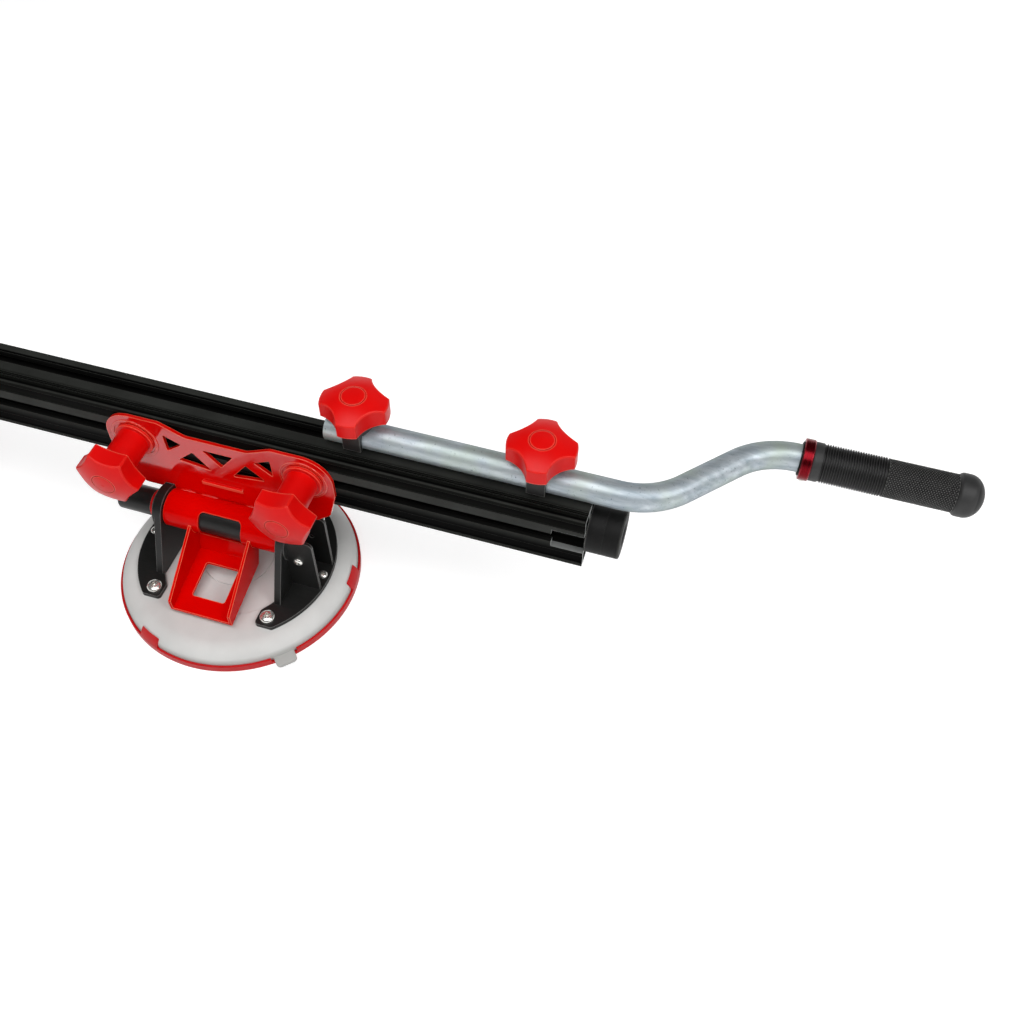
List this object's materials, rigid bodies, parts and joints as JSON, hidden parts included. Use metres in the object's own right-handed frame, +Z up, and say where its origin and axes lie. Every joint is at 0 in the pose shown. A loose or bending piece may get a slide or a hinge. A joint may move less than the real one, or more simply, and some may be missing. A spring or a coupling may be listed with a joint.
{
  "type": "slab carrying frame",
  "caption": "Carrying bar for large slabs: a slotted rail with pump suction cups hung from brackets on its front and bent handles with rubber grips clamped on top by star knobs.",
  "frame": {"origin": "on the floor under the rail's mid-length, half-way between the front and the back of the whole bar", "axes": "+X along the rail, +Y from the cups' side to the handles' side, +Z up"},
  "size_m": [1.5594, 0.2396, 0.2206],
  "materials": {
    "black_rail": "black anodised, satin",
    "black_rubber": "matt",
    "grey_rubber": "matt, pale grey",
    "steel": "bright",
    "zinc_tube": "zinc plated, mottled",
    "red_ring": "red anodised",
    "red_plastic": "satin",
    "red_paint": "glossy powder coat",
    "red_cover": "glossy",
    "red_line": "matt",
    "black_plastic": "satin"
  },
  "bodies": {
    "rail": {"rail": "black_rail", "buffer_right": "black_rubber", "buffer_left": "black_rubber", "buffer_screws": "steel"},
    "handle_right": {"handle_tube_right": "zinc_tube", "grip_right": "black_rubber", "grip_ring_right": "red_ring", "grip_ring_screw_right": "steel", "handle_saddles_right": "black_plastic", "handle_nuts_right": "steel"},
    "handle_inner_knob_right": {"handle_knob_inner_right": "red_plastic", "handle_stud_inner_right": "steel"},
    "handle_outer_knob_right": {"handle_knob_outer_right": "red_plastic", "handle_stud_outer_right": "steel"},
    "handle_left": {"handle_tube_left": "zinc_tube", "grip_left": "black_rubber", "grip_ring_left": "red_ring", "grip_ring_screw_left": "steel", "handle_saddles_left": "black_plastic", "handle_nuts_left": "steel"},
    "handle_inner_knob_left": {"handle_knob_inner_left": "red_plastic", "handle_stud_inner_left": "steel"},
    "handle_outer_knob_left": {"handle_knob_outer_left": "red_plastic", "handle_stud_outer_left": "steel"},
    "right_cup": {"cup_pad_right_cup": "grey_rubber", "cup_cover_right_cup": "red_cover", "cup_leg_left_right_cup": "black_plastic", "cup_leg_right_right_cup": "black_plastic", "cup_screws_right_cup": "steel", "pump_barrel_right_cup": "black_plastic", "bracket_sleeve_right_cup": "red_paint", "bracket_plate_right_cup": "red_paint", "bracket_tongue_right_cup": "red_paint", "bracket_nuts_right_cup": "steel"},
    "bracket_left_knob_right_cup": {"bracket_knob_left_right_cup": "red_plastic", "bracket_stud_left_right_cup": "steel"},
    "bracket_right_knob_right_cup": {"bracket_knob_right_right_cup": "red_plastic", "bracket_stud_right_right_cup": "steel"},
    "plunger_right_cup": {"pump_plunger_right_cup": "black_plastic", "pump_red_line_right_cup": "red_line", "pump_seal_right_cup": "black_rubber"},
    "left_cup": {"cup_pad_left_cup": "grey_rubber", "cup_cover_left_cup": "red_cover", "cup_leg_left_left_cup": "black_plastic", "cup_leg_right_left_cup": "black_plastic", "cup_screws_left_cup": "steel", "pump_barrel_left_cup": "black_plastic", "bracket_sleeve_left_cup": "red_paint", "bracket_plate_left_cup": "red_paint", "bracket_tongue_left_cup": "red_paint", "bracket_nuts_left_cup": "steel"},
    "bracket_left_knob_left_cup": {"bracket_knob_left_left_cup": "red_plastic", "bracket_stud_left_left_cup": "steel"},
    "bracket_right_knob_left_cup": {"bracket_knob_right_left_cup": "red_plastic", "bracket_stud_right_left_cup": "steel"},
    "plunger_left_cup": {"pump_plunger_left_cup": "black_plastic", "pump_red_line_left_cup": "red_line", "pump_seal_left_cup": "black_rubber"}
  },
  "joints": [
    {"name": "handle_right_slide", "type": "slide", "parent": "rail", "child": "handle_right", "axis": [1, 0, 0], "range_m": [-0.15, 0.02]},
    {"name": "handle_inner_knob_right_turn", "type": "hinge", "parent": "handle_right", "child": "handle_inner_knob_right", "pos_m": [0.31, 0.02602, 0.1981], "axis": [0, 0, 1], "range_deg": [0, 360]},
    {"name": "handle_outer_knob_right_turn", "type": "hinge", "parent": "handle_right", "child": "handle_outer_knob_right", "pos_m": [0.4575, 0.02602, 0.1981], "axis": [0, 0, 1], "range_deg": [0, 360]},
    {"name": "handle_left_slide", "type": "slide", "parent": "rail", "child": "handle_left", "axis": [-1, 0, 0], "range_m": [-0.15, 0.02]},
    {"name": "handle_inner_knob_left_turn", "type": "hinge", "parent": "handle_left", "child": "handle_inner_knob_left", "pos_m": [-0.31, 0.02602, 0.1981], "axis": [0, 0, 1], "range_deg": [0, 360]},
    {"name": "handle_outer_knob_left_turn", "type": "hinge", "parent": "handle_left", "child": "handle_outer_knob_left", "pos_m": [-0.4575, 0.02602, 0.1981], "axis": [0, 0, 1], "range_deg": [0, 360]},
    {"name": "right_cup_slide", "type": "slide", "parent": "rail", "child": "right_cup", "axis": [1, 0, 0], "range_m": [-0.08, 0.15]},
    {"name": "bracket_left_knob_right_cup_turn", "type": "hinge", "parent": "right_cup", "child": "bracket_left_knob_right_cup", "pos_m": [0.121, -0.00057, 0.1395], "axis": [0, -1, 0], "range_deg": [0, 360]},
    {"name": "bracket_right_knob_right_cup_turn", "type": "hinge", "parent": "right_cup", "child": "bracket_right_knob_right_cup", "pos_m": [0.27, -0.00057, 0.1395], "axis": [0, -1, 0], "range_deg": [0, 360]},
    {"name": "plunger_right_cup_push", "type": "slide", "parent": "right_cup", "child": "plunger_right_cup", "axis": [1, 0, 0], "range_m": [0, 0.026], "stiffness_N_per_m": 300, "springref_m": -0.01},
    {"name": "left_cup_slide", "type": "slide", "parent": "rail", "child": "left_cup", "axis": [-1, 0, 0], "range_m": [-0.08, 0.15]},
    {"name": "bracket_left_knob_left_cup_turn", "type": "hinge", "parent": "left_cup", "child": "bracket_left_knob_left_cup", "pos_m": [-0.27, -0.00057, 0.1395], "axis": [0, -1, 0], "range_deg": [0, 360]},
    {"name": "bracket_right_knob_left_cup_turn", "type": "hinge", "parent": "left_cup", "child": "bracket_right_knob_left_cup", "pos_m": [-0.121, -0.00057, 0.1395], "axis": [0, -1, 0], "range_deg": [0, 360]},
    {"name": "plunger_left_cup_push", "type": "slide", "parent": "left_cup", "child": "plunger_left_cup", "axis": [1, 0, 0], "range_m": [0, 0.026], "stiffness_N_per_m": 300, "springref_m": -0.01}
  ]
}
